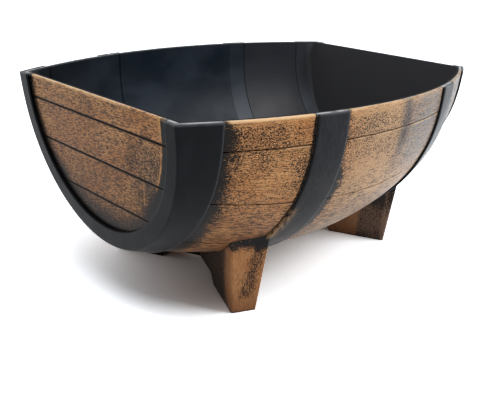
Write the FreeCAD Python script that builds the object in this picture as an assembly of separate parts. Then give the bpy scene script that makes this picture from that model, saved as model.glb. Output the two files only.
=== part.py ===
import FreeCAD, Part
import math
import os

from FreeCAD import Vector

# Overall form. The origin is on the floor under the middle, X runs along the barrel, the front is -Y.
rim_length = 420.0      # along the rim, over the flanges of the two end hoops
rim_height = 188.0      # floor to rim
belly_width = 303.0     # across the staves at mid length
end_width = 200.0       # across the staves at the rim corners
belly_depth = 168.0     # rim to the underside of the staves at mid length
end_depth = 126.0       # rim to the underside of the staves at the ends
side_drop = 14.0        # straight part of the side wall under the rim
head_lean = 6.1         # degrees, both ends lean in towards the floor

# Walls and fits
stave_thickness = 3.0
tub_wall = 2.2
board_thickness = 3.0
hoop_thickness = 2.3
fit_gap = 0.2           # between pieces that lie on each other
rim_edge_round = 1.2    # outer edge of the staves and head boards at the rim

# Joints between staves, in degrees below a level line that runs under the rim
joint_axis_drop = 15.0
rim_joint = 3.3
upper_joint = 25.2
lower_joint = 51.0
keel_joint = 76.0
stave_joint_width = 1.0

# Joints between head boards, measured down from the rim
first_board_drop = 19.2
board_pitch = 34.2
board_joints = 3
board_joint_width = 1.0

# Hoops. Their edges stand upright.
end_hoop_width = 31.8   # at the rim
middle_hoop_offset = 91.7
middle_hoop_width = 30.5
hoop_edge_round = 1.3
hoop_corner_round = 1.6  # where the flange turns on to the head
flange_edge_round = 1.2  # inner edge of the flange
flange_width = 10.0      # over the head boards at the sides
flange_foot_width = 14.5  # and at the bottom
flange_thickness = 3.0

# Relief of the hoops on the inside of the tub
relief_depth = 0.8
middle_relief_width = 22.4
end_relief_width = 34.0

# Feet
foot_toe_x = 116.5      # middle of the toe on the floor
foot_toe_y = 88.2
foot_turn = 25.6        # degrees, toes point outwards
foot_sole_width = 23.4
foot_draft = 4.8        # degrees, the foot widens upwards
foot_edge_round = 2.2
heel_line = 38.0        # from the centre line to the heel
heel_slope_run = 7.0
web_rise = 10.0         # floor to the underside of the web

# Foot screws, from inside the tub
screw_diameter = 4.0
screw_bite = 11.0       # depth in the foot
screw_head_diameter = 8.4
screw_head_height = 2.6
screw_clearance = 0.25  # round the shank
recess_length = 4.6     # cross recess in the head
recess_width = 1.1
recess_depth = 1.5
toe_screw_back = 9.0    # from the toe along the foot
web_screw_back = 72.0
boss_diameter = 12.0
boss_stand = 0.8        # above the high side of the slope that it stands on

# Drain holes along the keel
drain_diameter = 9.0
drain_spacing = 46.0
drain_count = 3

stations = 11           # sections along the barrel
arc_steps = 14          # points round the belly in a section
settle_rounds = 8       # rounds that find a height under the leaning sections
spare = 12.0           # what the cutting solids reach past the pieces

half_length = rim_length / 2
fan_depth = half_length / math.tan(math.radians(head_lean))
tub_inset = stave_thickness + fit_gap
inner_inset = tub_inset + tub_wall
hoop_reach = hoop_thickness + fit_gap
board_face = half_length - flange_thickness - fit_gap
tub_reach = board_face - board_thickness - fit_gap


def arc_fall(x, sag):
    # how far an arc with this sag over the whole length has fallen at x
    radius = (half_length ** 2 + sag ** 2) / (2 * sag)
    return radius - math.sqrt(radius ** 2 - x ** 2)


def section_size(x, inset):
    # half width and depth of the barrel at a station along the rim
    half_width = belly_width / 2 - arc_fall(x, (belly_width - end_width) / 2) - inset
    depth = belly_depth - arc_fall(x, belly_depth - end_depth) - inset
    return half_width, depth


def place(x, y, drop):
    # the sections fan out from a far point below, so that the ends lean in
    return Vector(x * (1 - drop / fan_depth), y, rim_height - drop)


def section(x, inset, raised):
    half_width, depth = section_size(x, inset)
    fall = depth - raised - side_drop
    outline = [(-half_width, -spare), (-half_width, 0.0), (-half_width, side_drop / 2)]
    for step in range(arc_steps + 1):
        turn = math.pi * step / arc_steps
        outline.append((-half_width * math.cos(turn), side_drop + fall * math.sin(turn)))
    outline += [(half_width, side_drop / 2), (half_width, 0.0), (half_width, -spare)]
    points = [place(x, y, drop) for y, drop in outline]
    belly = Part.BSplineCurve()
    belly.interpolate(points)
    lid = Part.LineSegment(points[-1], points[0])
    return Part.Wire([belly.toShape(), lid.toShape()])


def barrel(inset, reach, raised=0.0):
    # solid half barrel, open above the rim, with its sides moved in by the inset and its bottom raised further
    xs = [-reach + 2 * reach * i / (stations - 1) for i in range(stations)]
    return Part.makeLoft([section(x, inset, raised) for x in xs], True, False)


def slab(x_low, x_high):
    # everything between two upright planes across the barrel
    size = Vector(x_high - x_low, 2 * belly_width, 2 * rim_height)
    corner = Vector(x_low, -belly_width, -rim_height / 2)
    return Part.makeBox(size.x, size.y, size.z, corner)


def below_rim(shape):
    corner = Vector(-rim_length, -belly_width, rim_height)
    return shape.cut(Part.makeBox(2 * rim_length, 2 * belly_width, rim_height, corner))


def surface_height(x, y, inset):
    # height of the barrel's underside, or of the tub's floor, over a point of the floor
    drop = belly_depth
    for _ in range(settle_rounds):
        station = x / (1 - drop / fan_depth)
        half_width, depth = section_size(station, inset)
        drop = side_drop + (depth - side_drop) * math.sqrt(1 - (y / half_width) ** 2)
    return rim_height - drop


def foot_point(back, across=0.0):
    # a point of the front left foot on the floor, measured from the toe along the foot
    turn = math.radians(foot_turn)
    x = -foot_toe_x + back * math.sin(turn) + across * math.cos(turn)
    y = -foot_toe_y + back * math.cos(turn) - across * math.sin(turn)
    return x, y


def quarters():
    return [("front_left", 1, 1), ("front_right", -1, 1), ("rear_left", 1, -1), ("rear_right", -1, -1)]


def mirrored(shape, x_sign, y_sign):
    if x_sign < 0:
        shape = shape.mirror(Vector(0, 0, 0), Vector(1, 0, 0))
    if y_sign < 0:
        shape = shape.mirror(Vector(0, 0, 0), Vector(0, 1, 0))
    return shape


def screw_places():
    # each screw of the front left foot: its place, and the height of the boss under its head
    places = []
    for back in (toe_screw_back, web_screw_back):
        x, y = foot_point(back)
        high_side = surface_height(x, abs(y) + boss_diameter / 2, inner_inset)
        places.append((x, y, high_side + boss_stand))
    return places


def upright(x, y, diameter, low, high):
    return Part.makeCylinder(diameter / 2, high - low, Vector(x, y, low))


def all_quarters(shapes):
    return [mirrored(shape, sx, sy) for _, sx, sy in quarters() for shape in shapes]


def screw_holes(diameter):
    return all_quarters([upright(x, y, diameter, -spare, seat + spare) for x, y, seat in screw_places()])


def drain_holes():
    first = -drain_spacing * (drain_count - 1) / 2
    places = [first + i * drain_spacing for i in range(drain_count)]
    return [upright(x, 0, drain_diameter, -spare, rim_height) for x in places]


def middle_band(width):
    low = middle_hoop_offset - width / 2
    return low, low + width


shank_hole = screw_diameter + 2 * screw_clearance
stave_back = barrel(stave_thickness, half_length)
hoop_back = barrel(-fit_gap, half_length + spare)


def make_tub():
    outer = barrel(tub_inset, tub_reach)
    inner_reach = tub_reach - tub_wall
    hollow = barrel(inner_inset, inner_reach)
    deeper = barrel(inner_inset - relief_depth, inner_reach)
    low, high = middle_band(middle_relief_width)
    end_low = half_length - end_relief_width
    bands = [slab(low, high), slab(-high, -low), slab(end_low, rim_length), slab(-rim_length, -end_low)]
    tub = outer.cut(hollow).cut([deeper.common(band) for band in bands])
    bosses = [upright(x, y, boss_diameter, 0, seat) for x, y, seat in screw_places()]
    bosses = [boss.common(outer) for boss in all_quarters(bosses)]
    tub = tub.fuse(bosses).cut(screw_holes(shank_hole) + drain_holes())
    return below_rim(tub.removeSplitter())


def rounded_rim(piece):
    # of the two long edges at the rim, the outer one is rounded
    at_rim = [edge for edge in piece.Edges if edge.BoundBox.ZMin > rim_height - fit_gap]
    long_edges = sorted(at_rim, key=lambda edge: edge.Length)[-2:]
    outer = max(long_edges, key=lambda edge: edge.CenterOfMass.Length)
    return piece.makeFillet(rim_edge_round, [outer])


def joint_slot(angle, side):
    # thin plate in the plane of a stave joint; side is -1 at the front and 1 at the rear
    plate = Part.makeBox(2 * rim_length, belly_width, stave_joint_width,
                         Vector(-rim_length, 0, -stave_joint_width / 2))
    plate.rotate(Vector(0, 0, 0), Vector(1, 0, 0), -angle)
    if side < 0:
        plate = plate.mirror(Vector(0, 0, 0), Vector(0, 1, 0))
    plate.translate(Vector(0, 0, rim_height - joint_axis_drop))
    return plate


def make_staves():
    shell = below_rim(barrel(0, board_face).cut(stave_back))
    joints = (rim_joint, upper_joint, lower_joint, keel_joint)
    slots = [joint_slot(angle, side) for angle in joints for side in (-1, 1)]
    pieces = shell.cut(slots).cut(screw_holes(shank_hole) + drain_holes()).Solids

    def turn(piece):
        centre = piece.CenterOfMass
        return math.atan2(centre.y, rim_height - centre.z)

    rows = ["rim", "upper", "lower", "bottom"]
    names = ["front_%s_stave" % row for row in rows] + ["keel_stave"]
    names += ["rear_%s_stave" % row for row in reversed(rows)]
    pieces = sorted(pieces, key=turn)
    pieces[0] = rounded_rim(pieces[0])
    pieces[-1] = rounded_rim(pieces[-1])
    return dict(zip(names, pieces))


def make_head(side):
    # the boards of one head lie inside the staves, in front of the tub's end wall
    inside = barrel(tub_inset, board_face)
    behind = barrel(tub_inset - spare, tub_reach + fit_gap)
    half = slab(-rim_length, 0) if side == "left" else slab(0, rim_length)
    plate = below_rim(inside.cut(behind).common(half))
    cuts = []
    for i in range(board_joints):
        top = rim_height - first_board_drop - i * board_pitch + board_joint_width / 2
        cuts.append(Part.makeBox(2 * rim_length, 2 * belly_width, board_joint_width,
                                 Vector(-rim_length, -belly_width, top - board_joint_width)))
    boards = sorted(plate.cut(cuts).Solids, key=lambda board: -board.CenterOfMass.z)
    boards[0] = rounded_rim(boards[0])
    return {"%s_head_board_%d" % (side, i + 1): board for i, board in enumerate(boards)}


def longest_edge_at(shape, x):
    # of the edges in an upright plane across the barrel, the outermost runs the longest way round
    flat = [edge for edge in shape.Edges if edge.BoundBox.XLength < fit_gap]
    near = [edge for edge in flat if abs(edge.BoundBox.XMin - x) < fit_gap]
    return max(near, key=lambda edge: edge.Length)


def flange_edges(hoop):
    # the two longest edges that start at the very end of the rim: the flange's inner edge, then its corner with the side
    edges = [edge for edge in hoop.Edges if abs(edge.Vertexes[0].X - half_length) < fit_gap]
    return sorted(edges, key=lambda edge: edge.Length)[-2:]


def make_middle_hoop():
    low, high = middle_band(middle_hoop_width)
    band = below_rim(barrel(-hoop_reach, half_length).cut(hoop_back).common(slab(low, high)))
    band = band.makeFillet(hoop_edge_round, [longest_edge_at(band, low), longest_edge_at(band, high)])
    return band.cut(screw_holes(shank_hole))


def make_end_hoop():
    low = half_length - end_hoop_width
    over_staves = barrel(-hoop_reach, half_length).cut(hoop_back)
    mouth = barrel(flange_width, half_length + spare, flange_foot_width - flange_width)
    flange = barrel(-hoop_reach, half_length).cut(mouth)
    flange = flange.cut(barrel(-spare, board_face + fit_gap))
    hoop = below_rim(over_staves.fuse(flange).common(slab(low, rim_length))).removeSplitter()
    hoop = hoop.makeFillet(hoop_edge_round, [longest_edge_at(hoop, low)])
    hoop = hoop.makeFillet(flange_edge_round, [flange_edges(hoop)[0]])
    return hoop.makeFillet(hoop_corner_round, [flange_edges(hoop)[1]])


def make_foot():
    # front left foot: a tapered bar from the toe to the centre line, cut to the belly above it
    top = rim_height / 2
    flare = top * math.tan(math.radians(foot_draft))
    back = foot_toe_y / math.cos(math.radians(foot_turn)) + spare
    half = foot_sole_width / 2
    wires = []
    for z, grow in ((0.0, 0.0), (top, flare)):
        corners = [(-grow, -half - grow), (-grow, half + grow), (back, half + grow), (back, -half - grow)]
        points = [Vector(*foot_point(u, v), z) for u, v in corners]
        wires.append(Part.makePolygon(points + points[:1]))
    bar = Part.makeLoft(wires, True, True)
    upright_edges = [edge for edge in bar.Edges if edge.BoundBox.ZLength > top / 2]
    toe_edges = [edge for edge in upright_edges if edge.CenterOfMass.y < -heel_line]
    bar = bar.makeFillet(foot_edge_round, toe_edges)
    web_underside = [(-heel_line, -spare), (-heel_line, 0), (heel_slope_run - heel_line, web_rise),
                     (spare, web_rise), (spare, -spare), (-heel_line, -spare)]
    outline = Part.makePolygon([Vector(-rim_length, y, z) for y, z in web_underside])
    bar = bar.cut(Part.Face(outline).extrude(Vector(2 * rim_length, 0, 0)))
    mitre = Vector(-rim_length, -fit_gap / 2, 0)
    bar = bar.cut(Part.makeBox(2 * rim_length, belly_width, rim_height, mitre))
    low, high = middle_band(middle_hoop_width)
    hoop_room = barrel(-hoop_reach - fit_gap, half_length)
    hoop_room = hoop_room.common(slab(-high - fit_gap, fit_gap - low))
    bar = bar.cut(hoop_back).cut(hoop_room)
    pilot = screw_diameter + screw_clearance
    return bar.cut([upright(x, y, pilot, screw_tip(x, y), rim_height) for x, y, _ in screw_places()])


def screw_tip(x, y):
    # bottom of the pilot hole in the foot
    return surface_height(x, y, -hoop_reach) - screw_bite


def make_screws():
    screws = []
    for x, y, seat in screw_places():
        tip = screw_tip(x, y) + screw_clearance
        shank = upright(x, y, screw_diameter, tip, seat + screw_head_height / 2)
        dome_radius = (screw_head_diameter ** 2 / 4 + screw_head_height ** 2) / (2 * screw_head_height)
        head = Part.makeSphere(dome_radius, Vector(x, y, seat + screw_head_height - dome_radius))
        head = head.common(upright(x, y, 2 * dome_radius, seat, seat + dome_radius))
        screw = shank.fuse(head).removeSplitter()
        recess_floor = seat + screw_head_height - recess_depth
        for size_x, size_y in ((recess_length, recess_width), (recess_width, recess_length)):
            corner = Vector(x - size_x / 2, y - size_y / 2, recess_floor)
            screw = screw.cut(Part.makeBox(size_x, size_y, screw_head_height, corner))
        screws.append(screw)
    return Part.makeCompound(all_quarters(screws))


def build():
    pieces = {"tub": make_tub()}
    pieces.update(make_staves())
    pieces.update(make_head("left"))
    pieces.update(make_head("right"))
    middle_hoop = make_middle_hoop()
    end_hoop = make_end_hoop()
    for side, sign in (("left", -1), ("right", 1)):
        pieces["%s_middle_hoop" % side] = mirrored(middle_hoop, sign, 1)
        pieces["%s_end_hoop" % side] = mirrored(end_hoop, sign, 1)
    foot = make_foot()
    for name, x_sign, y_sign in quarters():
        pieces["%s_foot" % name] = mirrored(foot, x_sign, y_sign)
    pieces["foot_screws"] = make_screws()
    return pieces


os.makedirs("parts", exist_ok=True)
for name, shape in build().items():
    box = shape.optimalBoundingBox(False)
    print("%-22s solids %d valid %s" % (name, len(shape.Solids), shape.isValid()),
          "volume %7.0f" % shape.Volume,
          "x %.1f %.1f" % (box.XMin, box.XMax),
          "y %.1f %.1f" % (box.YMin, box.YMax),
          "z %.1f %.1f" % (box.ZMin, box.ZMax))
    shape.exportStep("parts/%s.step" % name)
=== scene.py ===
import bpy
import math
from mathutils import Matrix, Vector

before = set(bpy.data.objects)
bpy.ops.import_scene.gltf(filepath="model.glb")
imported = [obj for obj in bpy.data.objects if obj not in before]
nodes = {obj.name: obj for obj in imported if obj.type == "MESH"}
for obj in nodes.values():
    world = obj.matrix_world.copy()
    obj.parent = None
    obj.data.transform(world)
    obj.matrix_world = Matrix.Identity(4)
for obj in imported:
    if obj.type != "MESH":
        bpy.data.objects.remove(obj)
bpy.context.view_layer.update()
bpy.ops.object.select_all(action="DESELECT")
print("frame loaded:", len(nodes), "nodes")

# lengths in the materials are millimetres, as on the planter's drawing
# a value named Fade is (low, high) or (low, high, start, end), as Finish.fade takes them
mmPerMetre = 1000.0
# how far a shift moves the noise on each axis
noiseDrift = (1.0, 0.7, 1.3)
rim = {"height": 188.0, "sideDrop": 14.0, "halfLength": 210.0, "halfWidth": 151.5, "endHalfWidth": 100.0}
hoops = {"endEdge": 178.2, "middleInner": 76.4, "middleOuter": 107.0}


class Finish:
    # a material, with short ways to add nodes to it
    def __init__(self, name):
        self.material = bpy.data.materials.new(name)
        self.material.use_nodes = True
        self.tree = self.material.node_tree
        self.shader = self.tree.nodes["Principled BSDF"]
        coords = self.tree.nodes.new("ShaderNodeTexCoord")
        scale = self.tree.nodes.new("ShaderNodeVectorMath")
        scale.operation = "SCALE"
        scale.inputs["Scale"].default_value = mmPerMetre
        self.tree.links.new(coords.outputs["Object"], scale.inputs[0])
        self.place = scale.outputs[0]
        split = self.tree.nodes.new("ShaderNodeSeparateXYZ")
        self.tree.links.new(self.place, split.inputs[0])
        self.x, self.y, self.z = split.outputs

    def plug(self, socket, value):
        if isinstance(value, bpy.types.NodeSocket):
            self.tree.links.new(value, socket)
        else:
            socket.default_value = value

    def calc(self, operation, a, b=0.0):
        node = self.tree.nodes.new("ShaderNodeMath")
        node.operation = operation
        self.plug(node.inputs[0], a)
        self.plug(node.inputs[1], b)
        return node.outputs[0]

    def add(self, a, b):
        return self.calc("ADD", a, b)

    def minus(self, a, b):
        return self.calc("SUBTRACT", a, b)

    def times(self, a, b):
        return self.calc("MULTIPLY", a, b)

    def ratio(self, a, b):
        return self.calc("DIVIDE", a, b)

    def most(self, a, b):
        return self.calc("MAXIMUM", a, b)

    def over(self, a, b):
        return self.calc("GREATER_THAN", a, b)

    def under(self, a, b):
        return self.calc("LESS_THAN", a, b)

    def span(self, a):
        return self.calc("ABSOLUTE", a)

    def fade(self, value, low, high, start=0.0, end=1.0):
        # start below low, end above high, with a soft step between them
        node = self.tree.nodes.new("ShaderNodeMapRange")
        node.interpolation_type = "SMOOTHSTEP"
        sockets = ("Value", "From Min", "From Max", "To Min", "To Max")
        for name, amount in zip(sockets, (value, low, high, start, end)):
            self.plug(node.inputs[name], amount)
        return node.outputs[0]

    def noise(self, size, stretch=(1, 1, 1), detail=2.0, shift=0.0):
        # size is the width of a blotch in millimetres
        spread = self.tree.nodes.new("ShaderNodeMapping")
        spread.inputs["Scale"].default_value = [1 / (size * s) for s in stretch]
        spread.inputs["Location"].default_value = [shift * drift for drift in noiseDrift]
        self.plug(spread.inputs["Vector"], self.place)
        node = self.tree.nodes.new("ShaderNodeTexNoise")
        node.inputs["Scale"].default_value = 1.0
        node.inputs["Detail"].default_value = detail
        self.plug(node.inputs["Vector"], spread.outputs[0])
        return node.outputs["Fac"]

    def mottle(self, size, stretch, fade, detail=2.0, shift=0.0):
        # noise, with its contrast set by a fade
        return self.fade(self.noise(size, stretch, detail, shift), *fade)

    def wave(self, size, amount, shift=0.0):
        # soft noise about zero
        return self.times(self.add(self.noise(size, shift=shift), -0.5), 2 * amount)

    def join(self, x, y, z):
        node = self.tree.nodes.new("ShaderNodeCombineXYZ")
        for socket, value in zip(node.inputs, (x, y, z)):
            self.plug(socket, value)
        return node.outputs[0]

    def mix(self, factor, a, b):
        node = self.tree.nodes.new("ShaderNodeMix")
        node.data_type = "RGBA"
        for name, value in (("Factor_Float", factor), ("A_Color", a), ("B_Color", b)):
            socket = next(s for s in node.inputs if s.identifier == name)
            self.plug(socket, value if not isinstance(value, tuple) else (*value, 1.0))
        return next(s for s in node.outputs if s.identifier == "Result_Color")

    def relief(self, height, depth, strength):
        node = self.tree.nodes.new("ShaderNodeBump")
        node.inputs["Strength"].default_value = strength
        node.inputs["Distance"].default_value = depth / mmPerMetre
        self.plug(node.inputs["Height"], height)
        self.plug(self.shader.inputs["Normal"], node.outputs[0])

    def sheen(self, weight, roughness):
        self.shader.inputs["Sheen Weight"].default_value = weight
        self.shader.inputs["Sheen Roughness"].default_value = roughness

    def finish(self, colour, roughness, specular=0.5):
        self.plug(self.shader.inputs["Base Color"], colour)
        self.plug(self.shader.inputs["Roughness"], roughness)
        self.shader.inputs["Specular IOR Level"].default_value = specular


def patches(f, u, v, places):
    # soft oval patches: middle, half sizes, and what they add in the middle
    total = 0.0
    for middleU, middleV, halfU, halfV, amount in places:
        a = f.ratio(f.minus(u, middleU), halfU)
        b = f.ratio(f.minus(v, middleV), halfV)
        total = f.add(f.fade(f.add(f.times(a, a), f.times(b, b)), 0.0, 1.0, amount, 0.0), total)
    return total


# brown paint of staves, boards and feet

paint = {"tan": (0.440, 0.195, 0.068), "gold": (0.530, 0.268, 0.106), "ochre": (0.440, 0.290, 0.165),
         "pale": (0.700, 0.470, 0.260), "umber": (0.215, 0.088, 0.036), "rust": (0.260, 0.112, 0.050),
         "grey": (0.185, 0.165, 0.155), "mistAndShade": (0.036, 0.027, 0.025), "smoke": (0.075, 0.072, 0.074),
         "groove": (0.016, 0.010, 0.007), "grain": (0.045, 0.020, 0.010), "pore": (0.014, 0.008, 0.005),
         "black": (0.0052, 0.0050, 0.0048), "sheenSteel": (0.300, 0.300, 0.310), "slateShade": (0.020, 0.022, 0.025)}

# each share is how far that mark is drawn out along the grain
brush = {"dotShare": 0.12, "dashShare": 1.2, "blotchShare": 0.2, "fibreShare": 3.0,
         "dotSize": 0.95, "fineDotSize": 0.60, "dashSize": 0.80, "dashAmount": 0.9,
         "markLimit": 0.70, "markPerDensity": 0.26, "markSoft": 0.02,
         "goldSize": 26.0, "goldFade": (0.40, 0.62), "paleSize": 0.7, "paleFade": (0.54, 0.64, 0.0, 0.25),
         "umberSize": 0.9, "umberFade": (0.48, 0.64, 0.0, 0.70),
         "poreDepth": 0.18, "poreRelief": 0.5, "paintRoughness": 0.40, "poreRoughness": 0.36,
         "specular": 0.07, "sheen": 0.16, "sheenRoughness": 0.18}


def specks(f, density, size, stretch, detail=2.0, shift=0.0):
    # dark dots and dashes, where the brush missed the pores of the moulded grain
    threshold = f.add(f.times(density, -brush["markPerDensity"]), brush["markLimit"])
    gap = f.minus(f.noise(size, stretch, detail, shift), threshold)
    return f.fade(gap, -brush["markSoft"], brush["markSoft"])


def brownPaint(f, along, coarse, density, dashDensity, spray, layers):
    # along is the stretch of the grain on each axis, coarse its width
    # each layer is a colour and how much of it
    shares = ("dotShare", "dashShare", "blotchShare", "fibreShare")
    dots, dashes, blotches, fibres = [[1 + (s - 1) * brush[share] for s in along] for share in shares]
    dotted = f.most(specks(f, density, brush["dotSize"] * coarse, dots),
                    specks(f, density, brush["fineDotSize"] * coarse, dots, shift=5.0))
    dashed = specks(f, dashDensity, brush["dashSize"] * coarse, dashes, detail=1.0, shift=9.0)
    golden = f.mottle(brush["goldSize"], blotches, brush["goldFade"], shift=4.0)
    tone = f.mix(golden, paint["tan"], paint["gold"])
    flecks = f.mottle(brush["paleSize"], dots, brush["paleFade"], detail=1.0, shift=15.0)
    tone = f.mix(flecks, tone, paint["pale"])
    streaks = f.mottle(brush["umberSize"], fibres, brush["umberFade"], shift=7.0)
    tone = f.mix(streaks, tone, paint["umber"])
    for name, amount in layers:
        tone = f.mix(amount, tone, paint[name])
    tone = f.mix(f.times(dashed, brush["dashAmount"]), tone, f.mix(spray, paint["grain"], paint["black"]))
    colour = f.mix(dotted, tone, f.mix(spray, paint["pore"], paint["black"]))
    missed = f.most(dotted, dashed)
    f.relief(f.times(missed, -1.0), brush["poreDepth"], brush["poreRelief"])
    roughness = f.fade(missed, 0.0, 1.0, brush["paintRoughness"], brush["poreRoughness"])
    f.finish(colour, roughness, brush["specular"])
    f.sheen(brush["sheen"], brush["sheenRoughness"])
    return colour


rimPaint = {"edgeFoot": 2.2, "edgeTop": 0.9, "sprayFade": (0.4, 0.9, 1.0, 0.0), "flatFade": (2.2, 3.0),
            "raggedSize": 6.0, "ragged": 1.0, "highlightSize": 5.0, "highlightStretch": (2, 2, 1),
            "highlightFade": (0.30, 0.60)}


def rimEdge(f, colour, inward, bare, spray, bright):
    # the rounded outer edge takes pale paint and a painted highlight, as strong as bright
    # a painted grey sheen lies along the inside of the flat top and where it is bare
    high = f.fade(f.z, rim["height"] - rimPaint["edgeFoot"], rim["height"] - rimPaint["edgeTop"])
    caught = f.times(f.fade(spray, *rimPaint["sprayFade"]), bright)
    colour = f.mix(f.times(high, caught), colour, paint["pale"])
    ragged = f.wave(rimPaint["raggedSize"], rimPaint["ragged"], shift=6.0)
    flat = f.fade(f.add(inward, ragged), *rimPaint["flatFade"])
    topSheenMottle = f.mottle(rimPaint["highlightSize"], rimPaint["highlightStretch"], rimPaint["highlightFade"], shift=8.0)
    topSheenGrey = f.mix(topSheenMottle, paint["smoke"], paint["sheenSteel"])
    return f.mix(f.times(high, f.most(flat, bare)), colour, topSheenGrey)


# staves

stavePaint = {
    "grain": (7.0, 1.0, 1.0), "coarse": 1.0, "axisHeight": 173.0, "girth": 140.0, "joints": (3.3, 25.2, 51.0),
    "lowFade": (70.0, 140.0, 1.0, 0.0), "bellyFade": (128.0, 150.0, 1.0, 0.0),
    # solid width at the top, solid width low down and soft width, hoop by hoop
    "wideSpray": ((-6.0, 1.0, 26.0), (-3.0, 4.0, 10.0), (0.0, 5.0, 13.0)), "raggedSize": 7.0, "ragged": 6.0,
    "thinSprayFade": (0.4, 2.4, 1.0, 0.0), "thinRagged": 0.2,
    "smudgeX": 4.0, "smudgeWidth": 14.0, "smudgeFade": (108.0, 165.0, 0.0, 0.85),
    "smudgeWaveSize": 16.0, "smudgeWave": 5.0,
    "dots": 0.50, "driftSize": 20.0, "driftStretch": (2, 1, 1), "driftFade": (0.35, 0.65, -0.07, 0.08),
    "dotPatches": ((-150.0, 168.0, 34.0, 18.0, 0.04), (-134.0, 140.0, 26.0, 13.0, -0.20),
                   (-112.0, 150.0, 10.0, 24.0, 0.10), (-42.0, 134.0, 18.0, 13.0, -0.30),
                   (-45.0, 168.0, 30.0, 12.0, 0.08), (-140.0, 100.0, 34.0, 14.0, 0.14),
                   (42.0, 150.0, 30.0, 22.0, -0.10)),
    "lowDots": -0.40, "rightDotsFade": (-80.0, -50.0, 0.0, -0.10), "rimDotsFade": (180.0, 185.0, 0.0, -0.25),
    "sprayDots": 0.6, "smudgeDots": 0.22, "dashes": 0.22, "lowDashes": 0.64, "sprayDashes": 0.6,
    "greyPatches": ((46.0, 158.0, 52.0, 60.0, 1.2), (142.0, 150.0, 64.0, 90.0, 1.6)),
    "greySize": 1.1, "greyStretch": (12, 1, 1), "greyFade": (0.30, 0.70, 0.45, 1.0),
    "greyRearFade": (-20.0, 20.0, 1.0, 0.4),
    "umberFade": (50.0, 130.0, 0.6, 0.0), "ochreSheenFade": (-100.0, -40.0, 0.0, 0.7),
    "edgeSize": 3.0, "edgeStretch": (5, 1, 1), "sprayEdgeFade": (0.2, 0.6, 1.0, 0.0),
    "wornInFade": (0.3, 0.7), "wornOutFade": (1.0, 2.0, 1.0, 0.0), "wornFade": (0.40, 0.62, 0.0, 0.6),
    "dirtInFade": (-1.8, -0.6), "dirtOutFade": (-0.4, 0.0, 1.0, 0.0), "dirtAndShadeFade": (0.40, 0.62, 0.2, 0.8),
    "rightDirtFade": (-90.0, -50.0, 1.0, 0.1), "rimBrightFade": (-80.0, -50.0, 0.75, 0.2)}


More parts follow.
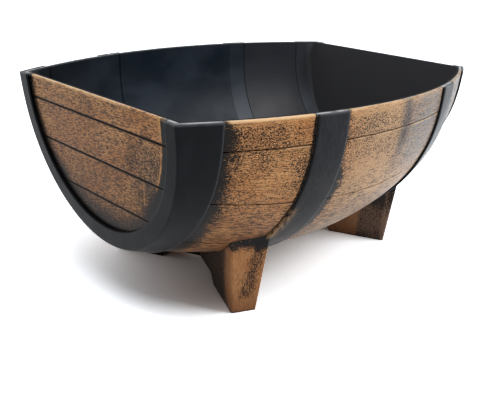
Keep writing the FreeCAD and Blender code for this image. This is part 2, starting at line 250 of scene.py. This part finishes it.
def paintStaves():
    f, s = Finish("staveBrownPaint"), stavePaint
    # the grain runs with the joints, so round the barrel it counts by the angle about their axis
    turn = f.calc("ARCTAN2", f.y, f.minus(s["axisHeight"], f.z))
    f.place = f.join(f.x, f.times(turn, s["girth"]), 0.0)
    wobble = f.wave(s["raggedSize"], s["ragged"], shift=2.0)
    low = f.fade(f.z, *s["lowFade"])
    belly = f.fade(f.z, *s["bellyFade"])
    # black from the hoops, widest on their right side and low down
    spray = 0.0
    wideEdges = ((-hoops["endEdge"], low), (-hoops["middleInner"], belly), (hoops["middleOuter"], low))
    for (edge, lowered), (topSolid, lowSolid, soft) in zip(wideEdges, s["wideSpray"]):
        away = f.minus(f.x, edge)
        solid = f.add(f.times(lowered, lowSolid - topSolid), topSolid)
        sprayed = f.fade(f.minus(f.add(away, wobble), solid), 0.0, soft, 1.0, 0.0)
        spray = f.most(f.times(f.over(away, 0.0), sprayed), spray)
    for edge in (-hoops["middleOuter"], hoops["middleInner"], hoops["endEdge"]):
        away = f.minus(edge, f.x)
        sprayed = f.fade(f.add(away, f.times(wobble, s["thinRagged"])), *s["thinSprayFade"])
        spray = f.most(f.times(f.over(away, 0.0), sprayed), spray)
    # smudge at mid length under the rim
    across = f.minus(f.add(f.x, f.wave(s["smudgeWaveSize"], s["smudgeWave"], shift=3.0)), s["smudgeX"])
    smudge = f.fade(f.span(across), 0.0, s["smudgeWidth"], 1.0, 0.0)
    smudge = f.times(smudge, f.fade(f.z, *s["smudgeFade"]))
    density = f.add(s["dots"], patches(f, f.add(f.x, wobble), f.z, s["dotPatches"]))
    density = f.add(density, f.mottle(s["driftSize"], s["driftStretch"], s["driftFade"], shift=1.0))
    density = f.add(density, f.add(f.times(low, s["lowDots"]), f.fade(f.x, *s["rightDotsFade"])))
    density = f.add(density, f.fade(f.z, *s["rimDotsFade"]))
    sprayDots = f.times(f.add(spray, f.times(spray, spray)), s["sprayDots"])
    density = f.add(density, f.add(sprayDots, f.times(smudge, s["smudgeDots"])))
    dashDensity = f.add(f.times(low, s["lowDashes"]), f.add(s["dashes"], f.times(spray, s["sprayDashes"])))
    # grey brush streaks right of the middle, with a painted sheen, strongest on the right panel
    greyStreaks = f.mottle(s["greySize"], s["greyStretch"], s["greyFade"], detail=3.0, shift=11.0)
    greyBrushAndSheen = f.times(patches(f, f.x, f.z, s["greyPatches"]), greyStreaks)
    greyBrushAndSheen = f.times(greyBrushAndSheen, f.fade(f.y, *s["greyRearFade"]))
    # the paler ochre towards the middle is a painted sheen
    layers = (("umber", f.fade(f.z, *s["umberFade"])), ("ochre", f.fade(f.x, *s["ochreSheenFade"])),
              ("grey", greyBrushAndSheen), ("smoke", smudge))
    colour = brownPaint(f, s["grain"], s["coarse"], density, dashDensity, spray, layers)
    # brush caught on the upper edges of the staves, and missed on the edges above them
    for joint in s["joints"]:
        level = math.radians(90 - joint) * s["girth"]
        below = f.minus(level, f.times(f.span(turn), s["girth"]))
        worn = f.times(f.fade(below, *s["wornInFade"]), f.fade(below, *s["wornOutFade"]))
        worn = f.times(worn, f.mottle(s["edgeSize"], s["edgeStretch"], s["wornFade"], shift=joint))
        colour = f.mix(f.times(worn, f.fade(spray, *s["sprayEdgeFade"])), colour, paint["pale"])
        dirtAndShadeLine = f.times(f.fade(below, *s["dirtInFade"]), f.fade(below, *s["dirtOutFade"]))
        dirtAndShadeLine = f.times(dirtAndShadeLine, f.mottle(s["edgeSize"], s["edgeStretch"], s["dirtAndShadeFade"], shift=joint + 9))
        colour = f.mix(f.times(dirtAndShadeLine, f.fade(f.x, *s["rightDirtFade"])), colour, paint["grain"])
    # the rim is an arc from end to end, bare under the hoops and to the rear
    sag = rim["halfWidth"] - rim["endHalfWidth"]
    rimArc = (rim["halfLength"] ** 2 + sag ** 2) / (2 * sag)
    outerEdge = f.add(f.calc("SQRT", f.minus(rimArc ** 2, f.times(f.x, f.x))), rim["halfWidth"] - rimArc)
    inward = f.minus(outerEdge, f.span(f.y))
    reach = f.span(f.x)
    bare = f.times(f.over(reach, hoops["middleInner"]), f.under(reach, hoops["middleOuter"]))
    bare = f.most(bare, f.most(f.over(reach, hoops["endEdge"]), f.over(f.y, 0.0)))
    # the pale rim edge is partly a painted highlight, brightest on the left
    colour = rimEdge(f, colour, inward, bare, spray, f.fade(f.x, *s["rimBrightFade"]))
    f.plug(f.shader.inputs["Base Color"], colour)
    return f.material


# head boards

headPaint = {
    "grain": (1.0, 5.0, 1.0), "coarse": 0.85, "mouthHalfWidth": 90.0, "mouthDepth": 111.5, "boardFace": 206.8,
    "joints": (168.8, 134.6, 100.4), "jointShadeFade": (0.8, 1.8, 0.92, 0.0),
    "frontFade": (-70.0, -40.0, 1.0, 0.0), "rearFade": (-50.0, 50.0), "lowerFade": (20.0, 115.0),
    "sprayWidth": 2.0, "lowerWidth": 15.0, "rearWidth": 6.0, "frontWidthFade": (0.0, 1.0, 4.0, 10.0),
    "sprayFade": (-0.15, 1.0, 1.0, 0.0), "raggedSize": 8.0, "ragged": 7.0, "raggedFade": (0.0, 0.5, 0.2, 0.8),
    "dots": 0.10, "driftSize": 16.0, "driftStretch": (1, 2, 1), "driftFade": (0.35, 0.65, -0.10, 0.12),
    "dotPatches": ((12.0, 178.0, 18.0, 9.0, 0.30), (-64.0, 148.0, 34.0, 28.0, 0.50),
                   (-12.0, 160.0, 30.0, 10.0, 0.14), (-68.0, 116.0, 34.0, 20.0, 0.40),
                   (26.0, 148.0, 30.0, 12.0, -0.12), (-66.0, 178.0, 30.0, 9.0, -0.10)),
    "lowerDots": 0.14, "sprayDotsFade": (0.0, 0.6, 0.45, 0.75),
    "dashes": 0.66, "lowerDashes": 0.16, "sprayDashes": 0.4,
    "sprayMistFade": (0.0, 0.6, 0.45, 0.92), "lowDarkFade": (78.0, 110.0, 0.66, 0.0), "lowerUmber": 0.45,
    "glints": ((-66.0, 146.0, 24.0, 22.0, 0.22), (-60.0, 118.0, 20.0, 14.0, 0.10)),
    "caughtFade": (8.4, 9.0, 1.0, 0.0), "caughtRiseFade": (128.0, 136.0), "caughtAmount": 0.8,
    "caughtSize": 4.0, "caughtStretch": (1, 1, 3), "caughtNoiseFade": (0.36, 0.56, 0.25, 1.0),
    "strokeEnd": -58.0, "strokeSlant": 0.1, "strokeFoot": 114.0, "strokeTop": 137.0,
    "strokeFade": (0.3, 0.8, 0.7, 0.0),
    "dullFade": (6.4, 7.2, 1.0, 0.0), "dullWaveSize": 4.0, "dullWave": 0.6,
    "rimSize": 5.0, "rimStretch": (1, 3, 1), "rimFade": (0.36, 0.58, 0.20, 0.65),
    "rimRearFade": (-90.0, 20.0, 0.35, 1.0)}


def paintHeads():
    f, h = Finish("headBrownPaint"), headPaint
    # ring is 1 at the flange's inner edge, and inside is how far in from it a point lies
    drop = f.minus(rim["height"], f.z)
    side = f.ratio(f.y, h["mouthHalfWidth"])
    down = f.ratio(f.most(f.minus(drop, rim["sideDrop"]), 0.0), h["mouthDepth"] - rim["sideDrop"])
    ring = f.calc("SQRT", f.add(f.times(side, side), f.times(down, down)))
    inside = f.times(f.minus(1.0, ring), h["mouthHalfWidth"])
    front = f.fade(f.y, *h["frontFade"])
    rear = f.fade(f.y, *h["rearFade"])
    lower = f.fade(drop, *h["lowerFade"])
    # black from the flange, wider low down and to the rear
    wobble = f.wave(h["raggedSize"], h["ragged"], shift=2.0)
    frontWidth = f.times(front, f.fade(lower, *h["frontWidthFade"]))
    width = f.add(f.times(lower, h["lowerWidth"]), h["sprayWidth"])
    width = f.add(width, f.add(f.times(rear, h["rearWidth"]), frontWidth))
    edge = f.add(inside, f.times(wobble, f.fade(lower, *h["raggedFade"])))
    spray = f.fade(f.ratio(edge, width), *h["sprayFade"])
    density = f.add(h["dots"], patches(f, f.add(f.y, wobble), f.z, h["dotPatches"]))
    density = f.add(density, f.mottle(h["driftSize"], h["driftStretch"], h["driftFade"], shift=1.0))
    sprayDots = f.times(spray, f.fade(rear, *h["sprayDotsFade"]))
    density = f.add(density, f.add(f.times(lower, h["lowerDots"]), sprayDots))
    dashDensity = f.add(h["dashes"], f.times(lower, h["lowerDashes"]))
    dashDensity = f.add(dashDensity, f.times(spray, h["sprayDashes"]))
    # black spray to the rear, and darker towards the bottom
    mistAndShade = f.most(f.times(spray, f.fade(rear, *h["sprayMistFade"])), f.fade(f.z, *h["lowDarkFade"]))
    layers = (("pale", patches(f, f.y, f.z, h["glints"])), ("umber", f.times(lower, h["lowerUmber"])),
              ("mistAndShade", mistAndShade))
    colour = brownPaint(f, h["grain"], h["coarse"], density, dashDensity, spray, layers)
    # brush caught beside the flange at the front and where a stroke ended
    caught = f.times(f.fade(inside, *h["caughtFade"]), f.fade(f.z, *h["caughtRiseFade"]))
    caughtNoise = f.mottle(h["caughtSize"], h["caughtStretch"], h["caughtNoiseFade"], shift=17.0)
    caught = f.times(caught, f.times(front, caughtNoise))
    slant = f.times(f.minus(h["strokeTop"], f.z), h["strokeSlant"])
    stroke = f.fade(f.span(f.minus(f.y, f.add(slant, h["strokeEnd"]))), *h["strokeFade"])
    stroke = f.times(stroke, f.times(f.over(f.z, h["strokeFoot"]), f.under(f.z, h["strokeTop"])))
    colour = f.mix(f.times(f.most(caught, stroke), h["caughtAmount"]), colour, paint["gold"])
    # black strip along the flange at the front, and painted shade in the joints
    dull = f.fade(f.add(inside, f.wave(h["dullWaveSize"], h["dullWave"], shift=19.0)), *h["dullFade"])
    colour = f.mix(f.times(dull, front), colour, paint["black"])
    jointShade = 0.0
    for height in h["joints"]:
        jointShade = f.most(f.fade(f.span(f.minus(f.z, height)), *h["jointShadeFade"]), jointShade)
    colour = f.mix(jointShade, colour, paint["groove"])
    # the rim is bare under the flange and on the right end
    bare = f.most(f.over(ring, 1.0), f.over(f.x, 0.0))
    inward = f.minus(h["boardFace"], f.span(f.x))
    # the pale rim edge is partly a painted highlight, brighter towards the front
    bright = f.mottle(h["rimSize"], h["rimStretch"], h["rimFade"], shift=13.0)
    bright = f.times(bright, f.fade(f.y, *h["rimRearFade"]))
    f.plug(f.shader.inputs["Base Color"], rimEdge(f, colour, inward, bare, spray, bright))
    return f.material


# feet

footPaint = {
    "grain": (1.0, 1.0, 5.0), "coarse": 1.0, "toeX": 116.5, "toeY": 88.2, "turn": 25.6,
    # middle of the dark band, across the toe and up, at two heights
    "bandLow": (0.5, 18.0), "bandHigh": (8.5, 58.0), "bandFade": (1.0, 13.0, 1.0, 0.0),
    "bandFootFade": (9.0, 18.0), "bandWaveSize": 8.0, "bandWave": 4.0, "bandDots": 0.74,
    "behindFade": (1.0, 16.0), "outerFade": (-10.0, -6.0, 1.0, 0.0), "outerBackFade": (2.0, 24.0),
    "outerDots": 1.05, "innerFade": (6.0, 10.0), "innerBackFade": (1.0, 6.0), "innerDots": 0.72,
    "innerFrom": 28.0, "leftInnerTo": 46.0, "rightInnerTo": 33.0, "innerRest": 0.15,
    "innerWaveSize": 6.0, "innerWave": 3.0, "rightInnerDots": 0.62,
    "dots": -0.10, "soleDotsFade": (3.0, 12.0, 0.22, 0.0), "dashShare": 0.8,
    "topFade": (60.0, 70.0), "topWaveSize": 7.0, "topWave": 5.0, "topDots": 1.1,
    "toeFade": (0.0, 4.0, 1.0, 0.0), "rightToeDotsFade": (10.0, 50.0, 0.18, 0.60),
    "shadeFade": (32.0, 62.0, 0.0, 0.9), "slabShade": 0.35, "soleShadeFade": (0.5, 3.0, 0.6, 0.0),
    "umberFade": (2.0, 30.0, 0.6, 0.0), "slateFade": (38.0, 46.0, 0.0, 0.9), "slateWaveSize": 7.0,
    "slateWave": 4.0, "rust": 0.50, "rightToeRust": 0.3, "leftBehindRust": 0.8, "rightBehindRust": 0.5,
    "rightGreyFade": (26.0, 34.0, 0.55, 0.1)}


def paintFeet():
    f, t = Finish("footBrownPaint"), footPaint

    def bySide(left, right):
        return f.fade(f.x, -1.0, 1.0, left, right)

    # back runs from the toe along the foot, across from its outer to its inner side
    turn = math.radians(t["turn"])
    a = f.minus(t["toeX"], f.span(f.x))
    b = f.minus(t["toeY"], f.span(f.y))
    back = f.add(f.times(a, math.sin(turn)), f.times(b, math.cos(turn)))
    across = f.minus(f.times(a, math.cos(turn)), f.times(b, math.sin(turn)))
    # slanting dark band over the toe
    (v0, z0), (v1, z1) = t["bandLow"], t["bandHigh"]
    centre = f.add(f.times(f.add(f.z, -z0), (v1 - v0) / (z1 - z0)), v0)
    off = f.span(f.minus(f.add(across, f.wave(t["bandWaveSize"], t["bandWave"], shift=2.0)), centre))
    band = f.times(f.fade(off, *t["bandFade"]), f.fade(f.z, *t["bandFootFade"]))
    # black on the sides behind the toe, which ends sooner on the right feet
    behind = f.fade(back, *t["behindFade"])
    outer = f.times(f.fade(across, *t["outerFade"]), f.fade(back, *t["outerBackFade"]))
    inner = f.times(f.fade(across, *t["innerFade"]), f.fade(back, *t["innerBackFade"]))
    innerBack = f.add(back, f.wave(t["innerWaveSize"], t["innerWave"], shift=4.0))
    innerTo = bySide(t["leftInnerTo"], t["rightInnerTo"])
    inner = f.times(inner, f.fade(innerBack, t["innerFrom"], innerTo, 1.0, t["innerRest"]))
    onRight = f.over(f.x, 0.0)
    slab = f.times(onRight, inner)
    innerDots = f.times(f.times(inner, bySide(1.0, t["rightInnerDots"])), t["innerDots"])
    density = f.add(t["dots"], f.times(band, t["bandDots"]))
    density = f.add(density, f.add(innerDots, f.times(outer, t["outerDots"])))
    density = f.add(density, f.fade(f.z, *t["soleDotsFade"]))
    # black spray from the belly above
    top = f.fade(f.add(f.z, f.wave(t["topWaveSize"], t["topWave"], shift=6.0)), *t["topFade"])
    density = f.add(density, f.times(top, t["topDots"]))
    # the right feet came out darker on the toe and under the barrel
    rightToe = f.times(onRight, f.fade(back, *t["toeFade"]))
    density = f.add(density, f.times(rightToe, f.fade(f.z, *t["rightToeDotsFade"])))
    # painted shade behind the toe under the barrel, on the right feet's slab, and along the sole
    mistAndShade = f.times(behind, f.fade(f.z, *t["shadeFade"]))
    mistAndShade = f.most(mistAndShade, f.most(f.times(slab, t["slabShade"]), f.fade(f.z, *t["soleShadeFade"])))
    # a bluish painted shade high on the right feet, under the barrel
    slateEdge = f.add(f.z, f.wave(t["slateWaveSize"], t["slateWave"], shift=10.0))
    slateShade = f.times(slab, f.fade(slateEdge, *t["slateFade"]))
    behindRust = f.times(behind, bySide(t["leftBehindRust"], t["rightBehindRust"]))
    rust = f.most(behindRust, f.add(f.times(rightToe, t["rightToeRust"]), t["rust"]))
    # a painted grey sheen on the right feet
    grey = f.times(onRight, f.fade(back, *t["rightGreyFade"]))
    layers = (("rust", rust), ("umber", f.fade(f.z, *t["umberFade"])), ("grey", grey), ("mistAndShade", mistAndShade),
              ("slateShade", slateShade))
    brownPaint(f, t["grain"], t["coarse"], density, f.times(density, t["dashShare"]), top, layers)
    return f.material


# hoops

hoopIron = {
    "base": (0.0022, 0.0027, 0.0038), "worn": (0.0052, 0.0058, 0.0074), "edgeHighlight": (0.052, 0.058, 0.068),
    "top": (0.046, 0.050, 0.055), "dustAndPaintedLight": (0.0165, 0.0168, 0.0200), "streak": (0.30, 0.18, 0.085),
    "wornSize": 9.0, "wornStretch": (1, 1, 3), "wornFade": (0.45, 0.70),
    "paintedLightFade": (95.0, 140.0, 0.0, 0.6), "dustAndLightSize": 1.6, "dustAndLightStretch": (1, 1, 5),
    "dustAndLightFade": (0.36, 0.64, 0.4, 1.2), "middlePast": (2.0, 4.0),
    "middleHighlight": 0.8, "endHighlight": 0.5, "highlightIn": (0.1, 0.8), "highlightOutFade": (1.0, 3.0, 1.0, 0.0),
    "highlightSize": 6.0, "highlightStretch": (1, 1, 4), "highlightFade": (0.30, 0.60, 0.4, 1.0),
    "topFoot": 1.8, "topEdge": 0.6, "topAmount": 0.9, "topSize": 5.0, "topStretch": (3, 1, 1),
    "topFade": (0.30, 0.60, 0.5, 1.0),
    "caughtFrom": -9.0, "caughtTo": -1.0, "caughtLowFade": (62.0, 80.0),
    "caughtHighFade": (100.0, 112.0, 1.0, 0.0),
    "streakSize": 3.0, "streakStretch": (0.6, 2.5, 2.5), "streakFade": (0.44, 0.58), "streakAmount": 0.8,
    "castSize": 2.4, "castStretch": (1, 1, 2.5), "castDepth": 0.08, "castRelief": 0.5,
    "roughSize": 18.0, "roughStretch": (1, 1, 2), "roughFade": (0.3, 0.7, 0.32, 0.42),
    "specular": 0.060, "sheen": 0.30, "sheenRoughness": 0.14}


def paintHoops():
    f, h = Finish("hoopCharcoal"), hoopIron
    reach = f.span(f.x)
    outer = hoops["middleOuter"]
    worn = f.mottle(h["wornSize"], h["wornStretch"], h["wornFade"], detail=3.0, shift=3.0)
    colour = f.mix(worn, h["base"], h["worn"])
    # painted light on the upper part of the middle hoops, in soft streaks
    pastLow, pastHigh = h["middlePast"]
    dustAndPaintedLight = f.times(f.fade(reach, outer + pastLow, outer + pastHigh, 1.0, 0.0), f.fade(f.z, *h["paintedLightFade"]))
    dustAndPaintedLight = f.times(dustAndPaintedLight, f.mottle(h["dustAndLightSize"], h["dustAndLightStretch"], h["dustAndLightFade"], detail=3.0, shift=21.0))
    colour = f.mix(dustAndPaintedLight, colour, h["dustAndPaintedLight"])
    # a painted highlight along the inner edges
    edgeHighlight = 0.0
    for edge, amount in ((hoops["middleInner"], h["middleHighlight"]), (hoops["endEdge"], h["endHighlight"])):
        past = f.add(reach, -edge)
        edgeHighlight = f.most(f.times(f.fade(past, *h["highlightIn"], 0.0, amount), f.fade(past, *h["highlightOutFade"])), edgeHighlight)
    edgeHighlight = f.times(edgeHighlight, f.mottle(h["highlightSize"], h["highlightStretch"], h["highlightFade"]))
    colour = f.mix(edgeHighlight, colour, h["edgeHighlight"])
    # a painted highlight along the top of the hoops
    top = f.fade(f.z, rim["height"] - h["topFoot"], rim["height"] - h["topEdge"])
    top = f.times(top, f.mottle(h["topSize"], h["topStretch"], h["topFade"], shift=8.0))
    colour = f.mix(f.times(top, h["topAmount"]), colour, h["top"])
    # dry brush caught on the outer edge of the middle hoops, low down
    caught = f.fade(reach, outer + h["caughtFrom"], outer + h["caughtTo"])
    caught = f.times(caught, f.under(reach, outer + pastLow))
    caught = f.times(caught, f.times(f.fade(f.z, *h["caughtLowFade"]), f.fade(f.z, *h["caughtHighFade"])))
    streaks = f.mottle(h["streakSize"], h["streakStretch"], h["streakFade"], detail=3.0, shift=2.0)
    colour = f.mix(f.times(f.times(caught, streaks), h["streakAmount"]), colour, h["streak"])
    f.relief(f.noise(h["castSize"], h["castStretch"], detail=3.0), h["castDepth"], h["castRelief"])
    f.finish(colour, f.mottle(h["roughSize"], h["roughStretch"], h["roughFade"]), h["specular"])
    f.sheen(h["sheen"], h["sheenRoughness"])
    return f.material


# tub

tubBlack = {
    "base": (0.0052, 0.0095, 0.0162), "dust": (0.016, 0.0225, 0.033), "band": (0.055, 0.066, 0.082),
    "bay": (0.025, 0.0245, 0.029), "lowBay": (0.042, 0.040, 0.043), "left": (0.0050, 0.0052, 0.0055),
    "top": (0.003, 0.003, 0.0035), "rearTopSheen": (0.050, 0.056, 0.062), "ends": (0.052, 0.0525, 0.057),
    "dirtAndShadeLine": (0.002, 0.002, 0.003),
    "dustAndLightSize": 45.0, "dustAndLightStretch": (2, 1, 1), "dustAndLightFade": (0.42, 0.66),
    "rightLightFade": (60.0, 150.0, 0.0, 0.10),
    "bandInner": 80.5, "bandOuter": 102.9, "endEdge": 176.0, "headFace": 194.5,
    "innerSoft": (-1.0, 3.0), "outerSoft": 1.0, "endSoft": 2.0, "headSoft": 6.0,
    "leftBandFade": (-60.0, 60.0, 0.25, 1.0), "bandFade": (90.0, 150.0, 0.85, 0.14),
    "bayAmount": 0.7, "bayFade": (105.0, 140.0), "dirtAndShadeFade": (0.5, 1.6), "innerShadeLine": 0.3, "endShadeLine": 0.6,
    "leftFade": (-170.0, -70.0, 0.6, 0.0), "topFoot": 1.2, "topEdge": 0.4, "rearFade": (92.0, 98.0),
    "rightEnd": 190.0, "castSize": 1.6, "castDepth": 0.05, "castRelief": 0.4,
    "roughSize": 30.0, "roughFade": (0.3, 0.7, 0.36, 0.46), "topRoughness": 0.9, "specular": 0.13}


def paintTub():
    f, t = Finish("tubSatinBlack"), tubBlack
    reach = f.span(f.x)
    # soft paler blotches, with painted light growing towards the right
    dustAndPaintedLight = f.add(f.noise(t["dustAndLightSize"], t["dustAndLightStretch"], detail=3.0), f.fade(f.x, *t["rightLightFade"]))
    colour = f.mix(f.fade(dustAndPaintedLight, *t["dustAndLightFade"]), t["base"], t["dust"])
    # painted light: right of the middle hoop the wall is paler, most of all low down
    outerFoot = t["bandOuter"] - t["outerSoft"]
    bay = f.mix(f.fade(f.z, *t["bayFade"]), t["lowBay"], t["bay"])
    colour = f.mix(f.fade(f.x, outerFoot, t["bandOuter"], 0.0, t["bayAmount"]), colour, bay)
    # a painted highlight on the hoop bands, most of all low down, with painted shade lines along their edges
    innerLow, innerHigh = t["innerSoft"]
    inBand = f.times(f.fade(reach, t["bandInner"] + innerLow, t["bandInner"] + innerHigh),
                     f.fade(reach, outerFoot, t["bandOuter"], 1.0, 0.0))
    inBand = f.most(inBand, f.fade(reach, t["endEdge"], t["endEdge"] + t["endSoft"]))
    inBand = f.times(inBand, f.fade(f.x, *t["leftBandFade"]))
    colour = f.mix(f.times(inBand, f.fade(f.z, *t["bandFade"])), colour, t["band"])
    dirtAndShadeLine = 0.0
    for edge, amount in ((t["bandInner"], t["innerShadeLine"]), (t["endEdge"], t["endShadeLine"])):
        dirtAndShadeLine = f.most(f.fade(f.span(f.add(reach, -edge)), *t["dirtAndShadeFade"], amount, 0.0), dirtAndShadeLine)
    colour = f.mix(dirtAndShadeLine, colour, t["dirtAndShadeLine"])
    # painted light on the end walls
    colour = f.mix(f.fade(reach, t["headFace"] - t["headSoft"], t["headFace"]), colour, t["ends"])
    # painted shade towards the left end, and dull on the flat top, with a painted sheen on it at the rear and
    # the right end
    colour = f.mix(f.fade(f.x, *t["leftFade"]), colour, t["left"])
    top = f.fade(f.z, rim["height"] - t["topFoot"], rim["height"] - t["topEdge"])
    farSide = f.most(f.fade(f.y, *t["rearFade"]), f.over(f.x, t["rightEnd"]))
    colour = f.mix(top, colour, f.mix(farSide, t["top"], t["rearTopSheen"]))
    f.relief(f.noise(t["castSize"]), t["castDepth"], t["castRelief"])
    roughness = f.fade(f.noise(t["roughSize"]), *t["roughFade"])
    f.finish(colour, f.most(roughness, f.times(top, t["topRoughness"])), t["specular"])
    return f.material


# foot screws

screwZinc = {"bright": (0.60, 0.60, 0.61), "dull": (0.36, 0.36, 0.37), "dullSize": 1.4,
             "dullFade": (0.35, 0.65), "roughSize": 0.8, "roughFade": (0.3, 0.7, 0.28, 0.42)}


def paintScrews():
    f, z = Finish("screwZinc"), screwZinc
    colour = f.mix(f.fade(f.noise(z["dullSize"]), *z["dullFade"]), z["bright"], z["dull"])
    f.finish(colour, f.fade(f.noise(z["roughSize"], detail=3.0), *z["roughFade"]))
    f.shader.inputs["Metallic"].default_value = 1.0
    return f.material


# by a word in the node's name, the first that fits
finishes = {"stave": paintStaves(), "head_board": paintHeads(), "foot_screws": paintScrews(),
            "_foot": paintFeet(), "hoop": paintHoops(), "tub": paintTub()}
for name, node in nodes.items():
    word = next(key for key in finishes if key in name)
    node.data.materials.clear()
    node.data.materials.append(finishes[word])
print("painted:", ", ".join(m.name for m in finishes.values()))

# floor and backdrop

studio = {"floorSize": 60.0, "floorShade": 0.85, "floorSeen": (1.74, 1.80, 1.87),
          "roomLight": 0.12, "backLight": 1.0, "backdrop": (0.72, 0.55, 0.42), "backdropSpan": (-0.35, 0.55),
          "horizon": 0.05, "horizonTop": 0.5, "aim": (0, 0, 0.1),
          "keyPower": 18.0, "keyPlace": (0.7, -1.1, 1.1), "keySize": 0.9,
          "topPower": 14.0, "topPlace": (-0.5, -0.2, 1.7), "topSize": 1.0}


def seenWhole(tree, level):
    # 1 for the rays of the picture, of gloss and of glass, and level for the others
    rays = tree.nodes.new("ShaderNodeLightPath")
    for ray in ("Is Camera Ray", "Is Glossy Ray", "Is Transmission Ray"):
        larger = tree.nodes.new("ShaderNodeMath")
        larger.operation = "MAXIMUM"
        larger.inputs[0].default_value = 0.0
        if level is not None:
            tree.links.new(level, larger.inputs[0])
        tree.links.new(rays.outputs[ray], larger.inputs[1])
        level = larger.outputs[0]
    return level


bpy.ops.mesh.primitive_plane_add(size=studio["floorSize"], location=(0, 0, 0))
floor = bpy.context.object
floor.name = "studioFloor"
floorPaint = bpy.data.materials.new("studioFloorWhite")
floorPaint.use_nodes = True
tree = floorPaint.node_tree
tree.nodes.clear()
output = tree.nodes.new("ShaderNodeOutputMaterial")
plain = tree.nodes.new("ShaderNodeBsdfDiffuse")
plain.inputs["Color"].default_value = (*[studio["floorShade"]] * 3, 1.0)
# the floor looks brighter than it lights the planter, as an overexposed backdrop does
seen = tree.nodes.new("ShaderNodeBsdfDiffuse")
seen.inputs["Color"].default_value = (*studio["floorSeen"], 1.0)
choose = tree.nodes.new("ShaderNodeMixShader")
tree.links.new(seenWhole(tree, None), choose.inputs[0])
tree.links.new(plain.outputs[0], choose.inputs[1])
tree.links.new(seen.outputs[0], choose.inputs[2])
tree.links.new(choose.outputs[0], output.inputs["Surface"])
floor.data.materials.append(floorPaint)

world = bpy.data.worlds.new("studioWhite")
bpy.context.scene.world = world
world.use_nodes = True
tree = world.node_tree
light = tree.nodes["Background"]
light.inputs["Color"].default_value = (1, 1, 1, 1)
# white backdrop behind the planter, a dimmer room on the camera's side
coords = tree.nodes.new("ShaderNodeTexCoord")
facing = tree.nodes.new("ShaderNodeVectorMath")
facing.operation = "DOT_PRODUCT"
facing.inputs[1].default_value = Vector(studio["backdrop"]).normalized()
tree.links.new(coords.outputs["Generated"], facing.inputs[0])
level = tree.nodes.new("ShaderNodeMapRange")
level.interpolation_type = "SMOOTHSTEP"
level.inputs["From Min"].default_value, level.inputs["From Max"].default_value = studio["backdropSpan"]
level.inputs["To Min"].default_value = studio["roomLight"]
level.inputs["To Max"].default_value = studio["backLight"]
tree.links.new(facing.outputs["Value"], level.inputs["Value"])
# less light from low down, so that the floor darkens under the barrel
height = tree.nodes.new("ShaderNodeSeparateXYZ")
tree.links.new(coords.outputs["Generated"], height.inputs[0])
rise = tree.nodes.new("ShaderNodeMapRange")
rise.interpolation_type = "SMOOTHSTEP"
rise.inputs["From Max"].default_value = studio["horizonTop"]
rise.inputs["To Min"].default_value = studio["horizon"]
tree.links.new(height.outputs["Z"], rise.inputs["Value"])
dimmed = tree.nodes.new("ShaderNodeMath")
dimmed.operation = "MULTIPLY"
tree.links.new(level.outputs[0], dimmed.inputs[0])
tree.links.new(rise.outputs[0], dimmed.inputs[1])
tree.links.new(seenWhole(tree, dimmed.outputs[0]), light.inputs["Strength"])


def addSoftbox(name, place, size, power):
    bpy.ops.object.light_add(type="AREA", location=place)
    lamp = bpy.context.object
    lamp.name = name
    lamp.data.size = size
    lamp.data.energy = power
    aim = Vector(studio["aim"]) - Vector(place)
    lamp.rotation_euler = aim.to_track_quat("-Z", "Y").to_euler()


addSoftbox("keySoftbox", studio["keyPlace"], studio["keySize"], studio["keyPower"])
addSoftbox("topSoftbox", studio["topPlace"], studio["topSize"], studio["topPower"])
print("studio lit")

# camera

shot = {"place": (-0.4508, -0.3864, 0.2931), "yaw": 0.8319, "pitch": 0.3953, "roll": 0.0602,
        "lens": 43.77, "sensor": 36.0, "clip": 0.01}

bpy.ops.object.camera_add(location=shot["place"])
camera = bpy.context.object
turn = Matrix.Rotation(-shot["yaw"], 3, "Z") @ Matrix.Rotation(math.pi / 2 - shot["pitch"], 3, "X")
turn = turn @ Matrix.Rotation(shot["roll"], 3, "Z")
camera.rotation_euler = turn.to_euler()
camera.data.lens = shot["lens"]
camera.data.sensor_width = shot["sensor"]
camera.data.clip_start = shot["clip"]
scene = bpy.context.scene
scene.camera = camera
scene.view_settings.view_transform = "Standard"
print("camera placed")
